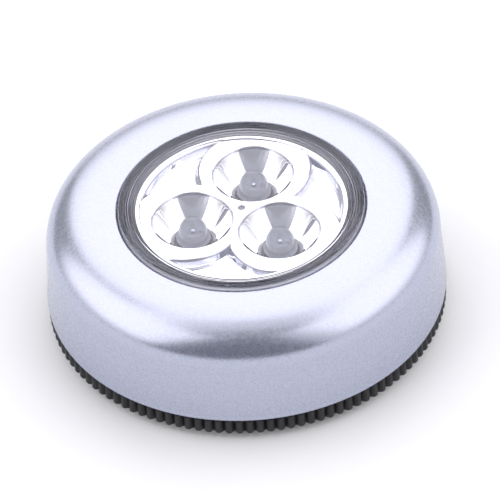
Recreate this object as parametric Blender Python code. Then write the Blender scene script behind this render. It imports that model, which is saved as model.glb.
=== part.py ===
"""Round push light: three LEDs in a mirrored reflector, over three AAA cells, on a ribbed twist-off base.

Metres, +Z up. The origin is the centre of the adhesive pad's outer face, on the light's own axis.
The clear head is pressed down to switch the light, and the base turns on a bayonet to reach the cells.
"""

import math

import bmesh
import bpy
from mathutils import Vector

# Facets
large_steps = 60
plate_steps = 48
cup_steps = 24
cell_steps = 20
small_steps = 12
smooth_degrees = 35
shoulder_points = 9
lining_points = 6
edge_points = 3
cup_points = 5
dome_points = 4
arc_points = 4
spring_points = 9
wire_sides = 6
digits = 9

# Clearances
touch_gap = 0.0002
twist_gap = 0.0003
slide_gap = 0.0002
overrun = 0.0010
overlap = 0.0004

# Cells, side by side along Y
cell_count = 3
cell_diameter = 0.0103
cell_length = 0.0442
cell_gap = 0.0006
nub_radius = 0.0018
nub_length = 0.0008
cell_crimp = 0.0003

# Contact plates and their springs
plate_thickness = 0.0004
plate_width = 0.0090
plate_height = 0.0076
dimple_radius = 0.0016
dimple_height = 0.0005
spring_height = 0.0024
spring_wire = 0.0005
spring_wide_radius = 0.0033
spring_narrow_radius = 0.0016
spring_turns = 2
solder_tab_width = 0.0020
solder_tab_rise = 0.0012
solder_tab_offset = 0.0016

# Adhesive pad
pad_radius = 0.0220
pad_thickness = 0.0010
pad_proud = 0.0006

# Base
base_floor = 0.0017
rim_height = 0.0034
rim_inset = 0.0007
rim_wall = 0.0015
rib_count = 120
rib_depth = 0.0005
rib_end = 0.0004
tab_thickness = 0.0012
tab_count = 3
tab_half_degrees = 7.5
tab_root_half_degrees = 8
first_tab_degrees = 90
lug_reach = 0.0012
lug_height = 0.0011
lug_half_degrees = 7

# Shell
shell_wall = 0.0016
wall_draft = 0.0006
lower_edge = 0.0003
shoulder_height = 0.00675
shoulder_power = 2.4
hole_edge = 0.0003
collar_wall = 0.0013
collar_drop = 0.0010
ledge_inset = 0.0003
ledge_height = 0.0011
ledge_half_degrees = 8
stop_gap_degrees = 0.6
stop_width_degrees = 2.5
twist_degrees = 25
boss_radius = 0.0024
boss_clearance = 0.0007
boss_rim_gap = 0.0009
boss_degrees = (180, 35, -35)

# Battery chassis
corner_wall = 0.00048
end_wall = 0.0010
side_wall = 0.0009
bay_crown = 0.0008
roof_thickness = 0.0014
cusp_rise = 0.0018
bay_lift = 0.0007
chassis_side_gap = 0.0004
chassis_rim_wall = 0.0010
chassis_rim_lift = 0.0020
chassis_boss_drop = 0.0016
clip_pocket_depth = 0.0007

# Screws
screw_head_radius = 0.0021
screw_head_height = 0.0013
screw_head_edge = 0.0004
screw_radius = 0.0010
screw_length = 0.0072
screw_point = 0.0010

# Switch
press_travel = 0.0012
press_clearance = 0.0003
switch_width = 0.0080
switch_height = 0.0070
switch_floor = 0.0009
switch_edge = 0.0004
plunger_radius = 0.0012
plunger_engagement = 0.0028
plunger_edge = 0.0003
plunger_clearance = 0.0004
switch_spring_wire = 0.0003
switch_spring_turns = 3
terminal_width = 0.0012
terminal_thickness = 0.0004
terminal_reach = 0.0026
terminal_drop = 0.0016
terminal_hole_setback = 0.0004

# Board, resistor and LEDs
board_thickness = 0.0010
board_margin = 0.0013
board_gap = 0.0003
led_height = 0.0044
led_radius = 0.0024
led_flange_radius = 0.0029
led_flange_height = 0.0009
led_clearance = 0.0004
led_pin_width = 0.0005
led_pin_spacing = 0.00254
pin_hole_radius = 0.0006
resistor_length = 0.0032
resistor_width = 0.0016
resistor_height = 0.0006
resistor_cap = 0.0005
resistor_waist = 0.0001
resistor_ring = 0.0118
resistor_degrees = 150

# Reflector
cup_count = 3
cup_radius = 0.0069
cup_web = 0.00127
cup_margin = 0.0024
cup_wall = 0.0008
cup_foot_gap = 0.0003
first_cup_degrees = 90
plate_drop = 0.0002
rim_step = 0.0002
reflector_plate = 0.0010
reflector_rim = 0.0008
reflector_edge = 0.0001
reflector_lift = 0.0015
pocket_inset = 0.0002
pocket_depth = 0.0015
pocket_draft = 0.0003
pocket_floor = 0.0010
pocket_skin = 0.0006
pocket_arc_radius = 0.00965
pocket_arc_shift = 0.0012
reflector_pin_radius = 0.0008
reflector_pin_ring = 0.0156
reflector_pin_short = 0.0002

# Lens
lens_thickness = 0.0012
lens_proud = 0.00055
lens_edge = 0.0005
lens_skirt = 0.0013
skirt_short = 0.0002
flange_thickness = 0.0011
flange_overlap = 0.0002
clip_drop = 0.0010
clip_inset = 0.00015
clip_half_degrees = 6
clip_pocket_half_degrees = 8
clip_degrees = (25, 155, 205, 335)
barb_height = 0.0005
barb_reach = 0.0006
notch_degrees = 270
notch_half_degrees = 9
notch_lift = 0.0015

# Leads
lead_radius = 0.0005
lead_hole_radius = 0.00105
lead_ring_gap = 0.0020
lead_samples = 4
lead_sides_level = 1
lead_end_inset = 0.0008
lead_spread_degrees = 5

# Heights, from the pad up to the lens
base_low = pad_proud
floor_top = base_low + base_floor
rim_top = base_low + rim_height
shell_low = rim_top + touch_gap
cell_axis = floor_top + touch_gap + cell_diameter / 2
bay_radius = cell_diameter / 2 + touch_gap
roof_top = cell_axis + bay_radius + bay_crown
roof_low = roof_top - roof_thickness
board_low = roof_top + press_travel + press_clearance
board_top = board_low + board_thickness
led_low = board_top + touch_gap
led_top = led_low + led_height
lens_low = led_top + led_clearance
lens_top = lens_low + lens_thickness
reflector_top = lens_low - touch_gap
plateau = reflector_top - rim_step
hole_top = lens_top - lens_proud
shoulder_low = hole_top - shoulder_height
ceiling = hole_top - shell_wall
collar_low = ceiling - collar_drop
flange_top = collar_low - touch_gap
flange_low = flange_top - flange_thickness
skirt_low = board_low + skirt_short
ledge_low = shell_low + ledge_inset
ledge_top = ledge_low + ledge_height
lug_low = ledge_top + twist_gap
lug_top = lug_low + lug_height
chassis_low = floor_top + bay_lift
switch_top = roof_low - touch_gap
switch_low = switch_top - switch_height
chassis_boss_low = roof_low - chassis_boss_drop
terminal_height = switch_top - terminal_drop

# Places across the cells
cell_pitch = cell_diameter + cell_gap
outer_cell_x = cell_pitch * (cell_count - 1) / 2
bay_side = outer_cell_x + bay_radius
bay_wall_x = bay_side + side_wall
plate_face = (cell_length + dimple_height + spring_height + 2 * touch_gap) / 2
plate_back = plate_face + plate_thickness
plate_middle = plate_face + plate_thickness / 2
slot_end = plate_back + touch_gap
cell_shift = plate_face - dimple_height - touch_gap - cell_length / 2
plate_side = outer_cell_x + plate_width / 2 + touch_gap
cell_corner = math.hypot(plate_side, slot_end) + corner_wall

# Radii of the head, from the cups out to the lens flange, and the switch under the flange
cup_ring = (2 * cup_radius + cup_web) / math.sqrt(cup_count)
cup_foot_radius = led_flange_radius + cup_foot_gap
cup_low = board_top + touch_gap
reflector_radius = cup_ring + cup_radius + cup_margin
reflector_rim_inner = reflector_radius - reflector_rim
pocket_radius = reflector_rim_inner - pocket_inset
pocket_arc_ring = cup_ring + pocket_arc_shift
board_radius = reflector_radius + board_margin
skirt_inner = board_radius + board_gap
lens_radius = skirt_inner + lens_skirt
hole_radius = lens_radius + slide_gap
switch_beside_lens = lens_radius + plunger_clearance + plunger_radius
switch_beside_cells = bay_wall_x + touch_gap + switch_width / 2
switch_x = max(switch_beside_lens, switch_beside_cells)
flange_radius = switch_x + plunger_radius + flange_overlap

# Radii of the housing, wide enough for the cells' corners and for the screws outside the flange
bayonet_width = tab_thickness + lug_reach + 2 * twist_gap
screw_band = boss_clearance + 2 * boss_radius + boss_rim_gap + chassis_rim_wall
chassis_inset = chassis_side_gap + wall_draft
shell_inner = max(cell_corner + bayonet_width, flange_radius + screw_band + chassis_inset)
shell_radius = shell_inner + shell_wall
shoulder_radius = shell_radius - wall_draft
rim_radius = shell_radius - rim_inset
dish_radius = rim_radius - rib_depth - rim_wall
chassis_radius = shell_inner - chassis_inset
boss_ring = chassis_radius - chassis_rim_wall - boss_rim_gap - boss_radius
lug_outer = shell_inner - twist_gap
tab_outer = lug_outer - lug_reach
tab_inner = tab_outer - tab_thickness
ledge_inner = tab_outer + twist_gap

# Places of the leads and terminals
lead_ring = lens_radius + lead_ring_gap + lead_radius
lead_height = roof_top + touch_gap + lead_radius
lead_entry = board_top + touch_gap + lead_radius
terminal_y = switch_width / 2 + terminal_reach - terminal_hole_setback


# Scene and materials


def clear_scene():
    for item in list(bpy.data.objects):
        bpy.data.objects.remove(item, do_unlink=True)


def material(name, colour, roughness, metallic=0.0, transmission=0.0):
    made = bpy.data.materials.new(name)
    made.use_nodes = True
    shader = made.node_tree.nodes["Principled BSDF"]
    shader.inputs["Base Color"].default_value = (*colour, 1.0)
    shader.inputs["Roughness"].default_value = roughness
    shader.inputs["Metallic"].default_value = metallic
    shader.inputs["Transmission Weight"].default_value = transmission
    made.diffuse_color = (*colour, 1.0)
    return made


# Outlines


def polar(radius, degrees, height=0.0):
    """A point round Z. Its cosine and sine are rounded, so that a point on an axis lies right on it."""
    angle = math.radians(degrees)
    return Vector((radius * round(math.cos(angle), digits), radius * round(math.sin(angle), digits), height))


def arc(centre, radius, start, end, points):
    """Points along an arc in the XY plane, from one angle to another in degrees, both ends included."""
    spans = points - 1
    found = []
    for index in range(points):
        degrees = start + (end - start) * index / spans
        found.append(Vector(centre).to_3d() + polar(radius, degrees))
    return found


def shoulder(inner, outer, low, high, points):
    """The shoulder's curve as (radius, height): a flattened quarter ellipse from the wall to the hole."""
    found = []
    for index in range(points):
        turn = math.pi / 2 * index / (points - 1)
        across = max(math.cos(turn), 0.0) ** (2 / shoulder_power)
        up = math.sin(turn) ** (2 / shoulder_power)
        found.append((inner + (outer - inner) * across, low + (high - low) * up))
    return found


def cup_outline(skin, top):
    """A cup's parabola as (radius, height) from foot to top, grown outwards by skin."""
    spread = (cup_radius**2 - cup_foot_radius**2) / (plateau - cup_low)
    found = []
    for index in range(cup_points):
        height = cup_low + (top - cup_low) * index / (cup_points - 1)
        radius = math.sqrt(cup_foot_radius**2 + spread * (height - cup_low))
        found.append((radius + skin, height))
    return found


def pocket_outline(grow):
    """A curved triangle that points along +X: an outer arc, and two arcs that curl round the cups."""
    outer = pocket_radius + grow
    curl = pocket_arc_radius - grow
    half_turn = 180 / cup_count
    cosine = (outer**2 + pocket_arc_ring**2 - curl**2) / (2 * outer * pocket_arc_ring)
    corner = half_turn - math.degrees(math.acos(cosine))
    reach = pocket_arc_ring * math.cos(math.radians(half_turn))
    inner = reach + math.sqrt(reach**2 - pocket_arc_ring**2 + curl**2)
    points = arc((0.0, 0.0), outer, -corner, corner, 2 * arc_points)
    for side in (1, -1):
        centre = polar(pocket_arc_ring, side * half_turn)
        to_corner = polar(outer, side * corner) - centre
        to_inner = polar(inner, 0) - centre
        start = math.degrees(math.atan2(to_corner.y, to_corner.x))
        end = math.degrees(math.atan2(to_inner.y, to_inner.x))
        if side < 0:
            start, end = end, start
        points += arc(centre, curl, start, end, 2 * arc_points)[1 : -1 if side < 0 else None]
    return points


def ribbed_outline(radius):
    """The grip rim: a round-nosed rib for each share of the turn, with a narrow groove between two."""
    pitch = 360 / rib_count
    nose_shares = (0.28, 0.72)
    points = []
    for rib in range(rib_count):
        points.append(polar(radius - rib_depth, rib * pitch))
        for share in nose_shares:
            height = math.sin(math.pi * share) ** (1 / 2)
            points.append(polar(radius - rib_depth * (1 - height), (rib + share) * pitch))
    return points


def bay_outline():
    """The opening of the cell bays, in X and height: straight outer sides, three crowns and two cusps."""
    low = chassis_low - overrun
    cusp = math.degrees(math.asin(cusp_rise / bay_radius))
    points = [Vector((-bay_side, low, 0.0))]
    for index in range(cell_count):
        centre = (cell_x(index), cell_axis)
        start = 180 if index == 0 else 180 - cusp
        end = 0 if index == cell_count - 1 else cusp
        points += arc(centre, bay_radius, start, end, 3 * arc_points)
    points.append(Vector((bay_side, low, 0.0)))
    return points


def chassis_block_outline():
    """A rectangle round the bays with its corners cut back to the circle that clears the bayonet tabs."""
    end_y = slot_end + end_wall
    radius = cell_corner
    side_turn = math.degrees(math.acos(bay_wall_x / radius))
    end_turn = math.degrees(math.asin(min(end_y / radius, 1.0)))
    corner = arc((0.0, 0.0), radius, side_turn, max(end_turn, side_turn), arc_points)
    mirrored = [Vector((-point.x, point.y, 0.0)) for point in reversed(corner)]
    opposite = [Vector((-point.x, -point.y, 0.0)) for point in corner + mirrored]
    return corner + mirrored + opposite


# Solids


def lofted(loops):
    """A closed mesh through loops of as many points each, capped at both ends."""
    mesh = bmesh.new()
    rows = [[mesh.verts.new(point) for point in loop] for loop in loops]
    count = len(rows[0])
    for lower, upper in zip(rows, rows[1:]):
        for index in range(count):
            after = (index + 1) % count
            mesh.faces.new((lower[index], lower[after], upper[after], upper[index]))
    mesh.faces.new(list(reversed(rows[0])))
    mesh.faces.new(rows[-1])
    bmesh.ops.recalc_face_normals(mesh, faces=mesh.faces)
    return mesh


def prism(outline, low, high):
    loops = []
    for height in (low, high):
        loops.append([Vector((point[0], point[1], height)) for point in outline])
    return lofted(loops)


def block(low, high):
    corners = ((low[0], low[1]), (high[0], low[1]), (high[0], high[1]), (low[0], high[1]))
    return prism(corners, low[2], high[2])


def revolved(outline, steps):
    """A closed (radius, height) outline turned once round Z. A flat end is one face, a tip one vertex."""
    mesh = bmesh.new()
    rings = []
    for radius, height in outline:
        if radius == 0:
            rings.append([mesh.verts.new((0.0, 0.0, height))])
            continue
        rings.append([mesh.verts.new(polar(radius, 360 * step / steps, height)) for step in range(steps)])
    for ring, after in zip(rings, rings[1:] + rings[:1]):
        if len(ring) == 1 and len(after) == 1:
            continue
        if min(len(ring), len(after)) == 1 and ring[0].co.z == after[0].co.z:
            mesh.faces.new(max(ring, after, key=len))
            continue
        for step in range(steps):
            turned = (step + 1) % steps
            corners = [ring[step % len(ring)], ring[turned % len(ring)]]
            corners += [after[turned % len(after)], after[step % len(after)]]
            mesh.faces.new(list(dict.fromkeys(corners)))
    bmesh.ops.delete(mesh, geom=[vertex for vertex in mesh.verts if not vertex.link_faces], context="VERTS")
    bmesh.ops.recalc_face_normals(mesh, faces=mesh.faces)
    return mesh


def cylinder(radius, low, high, steps=small_steps):
    return revolved([(0.0, low), (radius, low), (radius, high), (0.0, high)], steps)


def sector(inner, outer, low, high, centre, start, end):
    """A block bent round Z between two radii, from start to end in degrees either side of centre."""
    outside = arc((0.0, 0.0), outer, centre + start, centre + end, arc_points)
    inside = arc((0.0, 0.0), inner, centre + end, centre + start, arc_points)
    return prism(outside + inside, low, high)


def tube(points, radius, sides):
    """A closed round tube along points, each ring halfway between its two stretches."""
    mesh = bmesh.new()
    rows = []
    across = None
    for index, point in enumerate(points):
        into = (point - points[max(index - 1, 0)]).normalized()
        onward = (points[min(index + 1, len(points) - 1)] - point).normalized()
        along = (into + onward).normalized()
        if across is None:
            across = along.orthogonal().normalized()
        across = (across - along * across.dot(along)).normalized()
        upward = along.cross(across)
        row = []
        for side in range(sides):
            turn = 2 * math.pi * side / sides
            row.append(mesh.verts.new(point + radius * (across * math.cos(turn) + upward * math.sin(turn))))
        rows.append(row)
    for lower, upper in zip(rows, rows[1:]):
        for side in range(sides):
            after = (side + 1) % sides
            mesh.faces.new((lower[side], lower[after], upper[after], upper[side]))
    mesh.faces.new(list(reversed(rows[0])))
    mesh.faces.new(rows[-1])
    bmesh.ops.recalc_face_normals(mesh, faces=mesh.faces)
    return mesh


def coil(low, high, wide, narrow, turns):
    """Points of a coil round Z, its radius going evenly from wide to narrow."""
    count = round(turns * spring_points)
    points = []
    for index in range(count + 1):
        share = index / count
        degrees = 360 * turns * share
        points.append(polar(wide + (narrow - wide) * share, degrees, low + (high - low) * share))
    return points


def least_gap(points, wire):
    """The smallest free distance between turns, between points at least half a turn apart."""
    apart = spring_points // 2
    found = []
    for index, point in enumerate(points):
        for other in points[index + apart :]:
            found.append((point - other).length - wire)
    return min(found)


def report_gap(name, points, wire):
    print(f"least gap between the turns of the {name}: {1000 * least_gap(points, wire):.3f} mm")


# Objects


def add(name, mesh, finish=None, location=(0.0, 0.0, 0.0), turn=0.0):
    """A named object from a bmesh, on the faces' own smooth shading."""
    data = bpy.data.meshes.new(name)
    mesh.to_mesh(data)
    mesh.free()
    return place(name, data, finish, location, turn)


def place(name, data, finish, location, turn=0.0):
    made = bpy.data.objects.new(name, data)
    made.location = location
    made.rotation_euler.z = math.radians(turn)
    bpy.context.scene.collection.objects.link(made)
    data.shade_smooth()
    if finish and not data.materials:
        data.materials.append(finish)
    return made


def helper(name, mesh, location=(0.0, 0.0, 0.0), turn=0.0):
    made = add(name, mesh, location=location, turn=turn)
    made.hide_render = True
    made.display_type = "WIRE"
    return made


def combine(target, tool, operation):
    modifier = target.modifiers.new(tool.name, "BOOLEAN")
    modifier.operation = operation
    modifier.object = tool
    modifier.solver = "EXACT"


def cut(target, tool):
    combine(target, tool, "DIFFERENCE")


def join(target, tool):
    combine(target, tool, "UNION")


def edge_shading():
    """A node group that keeps a mesh smooth but for edges over one angle, the cut ones too."""
    group = bpy.data.node_groups.new("edge_shading", "GeometryNodeTree")
    group.interface.new_socket("Mesh", in_out="INPUT", socket_type="NodeSocketGeometry")
    group.interface.new_socket("Mesh", in_out="OUTPUT", socket_type="NodeSocketGeometry")
    entry = group.nodes.new("NodeGroupInput")
    result = group.nodes.new("NodeGroupOutput")
    angle = group.nodes.new("GeometryNodeInputMeshEdgeAngle")
    steep = group.nodes.new("FunctionNodeCompare")
    steep.operation = "GREATER_THAN"
    steep.inputs["B"].default_value = math.radians(smooth_degrees)
    sharpen = group.nodes.new("GeometryNodeSetShadeSmooth")
    sharpen.domain = "EDGE"
    sharpen.inputs["Shade Smooth"].default_value = False
    group.links.new(angle.outputs["Unsigned Angle"], steep.inputs["A"])
    group.links.new(entry.outputs["Mesh"], sharpen.inputs["Geometry"])
    group.links.new(steep.outputs["Result"], sharpen.inputs["Selection"])
    group.links.new(sharpen.outputs["Geometry"], result.inputs["Mesh"])
    return group


def frame(name, location, parent=None):
    """An empty on a joint's axis, which carries the pieces that move together."""
    made = bpy.data.objects.new(name, None)
    made.location = Vector(location)
    if parent:
        made.parent = parent
        made.location -= Vector(parent.location)
    made.empty_display_size = cell_diameter
    bpy.context.scene.collection.objects.link(made)
    return made


def carry(parent, pieces):
    bpy.context.view_layer.update()
    for piece in pieces:
        piece.parent = parent
        piece.matrix_parent_inverse = parent.matrix_world.inverted()


# Base and pad


def make_base(finish):
    lower = ribbed_outline(rim_radius - rib_end)
    full = ribbed_outline(rim_radius)
    loops = [[Vector((p.x, p.y, base_low)) for p in lower]]
    loops.append([Vector((p.x, p.y, base_low + rib_end)) for p in full])
    loops.append([Vector((p.x, p.y, rim_top)) for p in full])
    base = add("base", lofted(loops), finish)
    cut(base, helper("cut_dish", cylinder(dish_radius, floor_top, rim_top + overrun, large_steps)))
    recess_top = pad_thickness + touch_gap
    recess = cylinder(pad_radius + twist_gap, base_low - overrun, recess_top, large_steps)
    cut(base, helper("cut_pad_recess", recess))
    root_low = floor_top - overlap
    root_high = rim_top - overlap
    root_outer = dish_radius + overlap
    root_half = tab_root_half_degrees
    half = tab_half_degrees
    lug_half = lug_half_degrees
    for index in range(tab_count):
        centre = first_tab_degrees + 360 * index / tab_count
        root = sector(tab_inner, root_outer, root_low, root_high, centre, -root_half, root_half)
        join(base, helper(f"tab_root_{index + 1}", root))
        tab = sector(tab_inner + overlap / 2, tab_outer, root_low - overlap / 2, lug_top, centre, -half, half)
        join(base, helper(f"tab_{index + 1}", tab))
        lug_inner = tab_outer - overlap
        lug = sector(lug_inner, lug_outer, lug_low, lug_top - overlap / 2, centre, -lug_half, lug_half)
        join(base, helper(f"lug_{index + 1}", lug))
    return base


def make_pad(finish):
    return add("foam_pad", cylinder(pad_radius, 0.0, pad_thickness, large_steps // 2), finish)


# Shell


def make_shell(finish):
    outline = [(hole_radius, shell_low), (shell_radius - lower_edge, shell_low)]
    outline.append((shell_radius, shell_low + lower_edge))
    outline += shoulder(hole_radius + hole_edge, shoulder_radius, shoulder_low, hole_top, shoulder_points)
    outline.append((hole_radius, hole_top - hole_edge))
    shell = add("housing_shell", revolved(outline, large_steps), finish)
    cavity = helper("cut_cavity", revolved(cavity_outline(), large_steps))
    for index in range(tab_count):
        centre = first_tab_degrees + 360 * index / tab_count
        half = ledge_half_degrees
        ledge = sector(ledge_inner, shell_radius, ledge_low, ledge_top, centre, -half, half)
        cut(cavity, helper(f"ledge_{index + 1}", ledge))
        closed = lug_half_degrees + stop_gap_degrees
        opened = -closed - twist_degrees - stop_width_degrees
        for start, label in ((closed, "closed"), (opened, "open")):
            end = start + stop_width_degrees
            stop = sector(ledge_inner, shell_radius, ledge_low - overlap / 2, lug_top, centre, start, end)
            cut(cavity, helper(f"stop_{label}_{index + 1}", stop))
    boss_low = roof_top + touch_gap
    for index, degrees in enumerate(boss_degrees):
        boss = cylinder(boss_radius, boss_low, hole_top, small_steps)
        cut(cavity, helper(f"boss_{index + 1}", boss, polar(boss_ring, degrees)))
    cut(shell, cavity)
    hole_end = chassis_boss_low + screw_length + overlap
    for index, degrees in enumerate(boss_degrees):
        pilot = cylinder(screw_radius + touch_gap, boss_low - overrun, hole_end, small_steps)
        cut(shell, helper(f"cut_boss_hole_{index + 1}", pilot, polar(boss_ring, degrees)))
    return shell


def cavity_outline():
    """The space inside the shell: its outline drawn in by one wall, but for the collar round the hole."""
    collar_radius = hole_radius + collar_wall
    low = shell_low - overrun
    outline = [(0.0, low), (shell_inner, low), (shell_inner, shell_low)]
    curve = shoulder(hole_radius, shoulder_radius - shell_wall, shoulder_low, ceiling, lining_points)
    outline += [point for point in curve if point[0] > collar_radius]
    outline += [(collar_radius, ceiling), (collar_radius, collar_low), (0.0, collar_low)]
    return outline


# Battery chassis


def make_chassis(finish):
    rim_low = lug_top + chassis_rim_lift
    rim_inner = chassis_radius - chassis_rim_wall
    outline = [(0.0, roof_top), (chassis_radius, roof_top), (chassis_radius, rim_low), (rim_inner, rim_low)]
    outline += [(rim_inner, roof_low), (0.0, roof_low)]
    chassis = add("battery_chassis", revolved(outline, large_steps), finish)
    joined = roof_low + overlap
    join(chassis, helper("bay_block", prism(chassis_block_outline(), chassis_low, joined)))
    pocket_half = switch_width / 2 + touch_gap
    wall_half = pocket_half + side_wall
    low = (bay_wall_x - overlap, -wall_half, switch_low)
    high = (switch_x + wall_half, wall_half, joined + overlap / 2)
    join(chassis, helper("switch_block", block(low, high)))
    for index, degrees in enumerate(boss_degrees):
        boss = cylinder(boss_radius, chassis_boss_low, joined)
        join(chassis, helper(f"chassis_boss_{index + 1}", boss, polar(boss_ring, degrees)))
    cut_bays(chassis)
    cut_switch_pocket(chassis, pocket_half)
    for index, degrees in enumerate(boss_degrees):
        hole = cylinder(screw_radius + touch_gap, chassis_boss_low - overrun, roof_top + overrun)
        cut(chassis, helper(f"cut_screw_hole_{index + 1}", hole, polar(boss_ring, degrees)))
    half = clip_pocket_half_degrees
    inner = board_radius - barb_reach - twist_gap
    for index, degrees in enumerate(clip_degrees):
        pocket_low = roof_top - clip_pocket_depth
        pocket = sector(inner, lens_radius + twist_gap, pocket_low, roof_top + overrun, degrees, -half, half)
        cut(chassis, helper(f"cut_clip_pocket_{index + 1}", pocket))
    return chassis


def cut_bays(chassis):
    bay_end = plate_face - overlap / 4
    bays = helper("cut_bays", prism(bay_outline(), -bay_end, bay_end))
    bays.rotation_euler.x = math.pi / 2
    cut(chassis, bays)
    slot_low = chassis_low - overrun
    slot_high = cell_axis + plate_height / 2 + touch_gap
    for name, spans, side in plate_places():
        left = spans[0] - plate_width / 2 - touch_gap
        right = spans[1] + plate_width / 2 + touch_gap
        near, far = sorted((side * (plate_face - touch_gap), side * slot_end))
        slot = block((left, near, slot_low), (right, far, slot_high))
        cut(chassis, helper(f"cut_slot_{name}", slot))
    for side in (1, -1):
        half = solder_tab_width / 2 + touch_gap
        middle = side * (outer_cell_x + solder_tab_offset)
        near, far = sorted((side * (plate_face - touch_gap), side * slot_end))
        opening = block((middle - half, near, slot_high - overlap), (middle + half, far, roof_top + overrun))
        cut(chassis, helper(f"cut_solder_tab_{'positive' if side > 0 else 'negative'}", opening))


def cut_switch_pocket(chassis, pocket_half):
    low = (switch_x - pocket_half, -pocket_half, switch_low - overrun)
    high = (switch_x + pocket_half, pocket_half, roof_low)
    cut(chassis, helper("cut_switch_pocket", block(low, high)))
    opening = cylinder(plunger_radius + plunger_clearance, roof_low - overrun, roof_top + overrun)
    cut(chassis, helper("cut_plunger_hole", opening, (switch_x, 0.0, 0.0)))
    slot_half = terminal_width / 2 + twist_gap
    reach = pocket_half + side_wall + overrun
    slot_high = terminal_height + terminal_thickness + twist_gap
    slot = block((-slot_half, -reach, switch_low - overrun), (slot_half, reach, slot_high))
    cut(chassis, helper("cut_terminal_slots", slot, (switch_x, 0.0, 0.0)))
    for side, label in ((1, "a"), (-1, "b")):
        hole = cylinder(lead_hole_radius, roof_low - overrun, roof_top + overrun)
        cut(chassis, helper(f"cut_lead_hole_{label}", hole, (switch_x, side * terminal_y, 0.0)))


def make_screws(finish):
    """Screws with their heads under the chassis bosses, driven up into the shell's bosses."""
    seat = -touch_gap
    edge = screw_head_radius - screw_head_edge
    outline = [(0.0, seat - screw_head_height), (edge, seat - screw_head_height)]
    outline += [(screw_head_radius, seat - screw_head_height + screw_head_edge), (screw_head_radius, seat)]
    outline += [(screw_radius, seat), (screw_radius, screw_length - screw_point), (0.0, screw_length)]
    first = add("chassis_screw_1", revolved(outline, small_steps), finish)
    screws = [first]
    for index in range(1, len(boss_degrees)):
        screws.append(place(f"chassis_screw_{index + 1}", first.data, finish, (0.0, 0.0, 0.0)))
    for screw, degrees in zip(screws, boss_degrees):
        screw.location = polar(boss_ring, degrees, chassis_boss_low)
    return screws


# Cells and contacts


def cell_x(index):
    return (index - (cell_count - 1) / 2) * cell_pitch


def cell_side(index):
    """+1 where the cell's plus end points to +Y, and -1 for the cells turned round between them."""
    return 1 if index % 2 == 0 else -1


def plate_places():
    """Each contact plate as its name, its first and last X and its end of the bays."""
    last = cell_count - 1
    places = [("contact_positive", (cell_x(last), cell_x(last)), 1)]
    places.append(("contact_negative", (cell_x(0), cell_x(0)), -1))
    for index in range(last):
        places.append((f"link_contact_{index + 1}", (cell_x(index), cell_x(index + 1)), cell_side(index)))
    return places


def make_cells(finish):
    radius = cell_diameter / 2
    half = cell_length / 2
    cap = half - nub_length
    outline = [(0.0, -half), (radius - cell_crimp, -half), (radius, cell_crimp - half)]
    outline += [(radius, cap - cell_crimp), (radius - cell_crimp, cap)]
    outline += [(nub_radius, cap), (nub_radius, half), (0.0, half)]
    first = add("cell_1", revolved(outline, cell_steps), finish)
    cells = [first]
    for index in range(1, cell_count):
        cells.append(place(f"cell_{index + 1}", first.data, finish, (0.0, 0.0, 0.0)))
    for index, cell in enumerate(cells):
        side = cell_side(index)
        cell.location = (cell_x(index), side * cell_shift, cell_axis)
        cell.rotation_euler = (-side * math.pi / 2, 0.0, 0.0)
    return cells


def make_contacts(finish):
    """Nickelled plates in the bays' ends. A plus end meets a dimple, and a minus end a conical spring."""
    contacts = []
    for name, spans, side in plate_places():
        low = (spans[0] - plate_width / 2, 0.0, -plate_height / 2)
        high = (spans[1] + plate_width / 2, plate_thickness, plate_height / 2)
        plate = add(name, block(low, high), finish)
        plus = [x for x in spans if (x, side) in plus_ends()]
        minus = [x for x in spans if x not in plus]
        if plus:
            dimple = helper(f"dimple_{name}", revolved(dimple_outline(), small_steps), (plus[0], 0.0, 0.0))
            dimple.rotation_euler.x = math.pi / 2
            join(plate, dimple)
        if minus:
            wound = tube(contact_coil(), spring_wire / 2, wire_sides)
            spring = helper(f"spring_{name}", wound, (minus[0], 0.0, 0.0))
            spring.rotation_euler.x = math.pi / 2
            join(plate, spring)
        if name.startswith("contact"):
            middle = side * (outer_cell_x + solder_tab_offset)
            half = solder_tab_width / 2
            tab_low = (middle - half, 0.0, plate_height / 2 - overlap)
            tab_high = (middle + half, plate_thickness, roof_top + solder_tab_rise - cell_axis)
            join(plate, helper(f"solder_tab_{name}", block(tab_low, tab_high)))
        for modifier in plate.modifiers:
            modifier.object.parent = plate
        plate.location = (0.0, plate_face, cell_axis)
        if side < 0:
            plate.location = (0.0, -plate_face, cell_axis)
            plate.scale.y = -1
        contacts.append(plate)
    return contacts


def plus_ends():
    return [(cell_x(index), cell_side(index)) for index in range(cell_count)]


def dimple_outline():
    inside = -plate_thickness / 2
    outline = [(0.0, inside), (dimple_radius, inside), (dimple_radius, 0.0)]
    return outline + [(dimple_radius / 2, dimple_height), (0.0, dimple_height)]


def contact_coil():
    """A conical battery spring, with a short straight end at the plate and another at the cell."""
    first = 2 * spring_wire
    last = spring_height - spring_wire
    points = coil(first, last, spring_wide_radius, spring_narrow_radius, spring_turns)
    root = Vector((points[0].x, points[0].y, -plate_thickness / 2))
    foot = root + Vector((0.0, 0.0, spring_wire + plate_thickness / 2))
    return [root, foot] + points[1:] + [points[-1] + Vector((0.0, 0.0, spring_wire))]


# Switch


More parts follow.
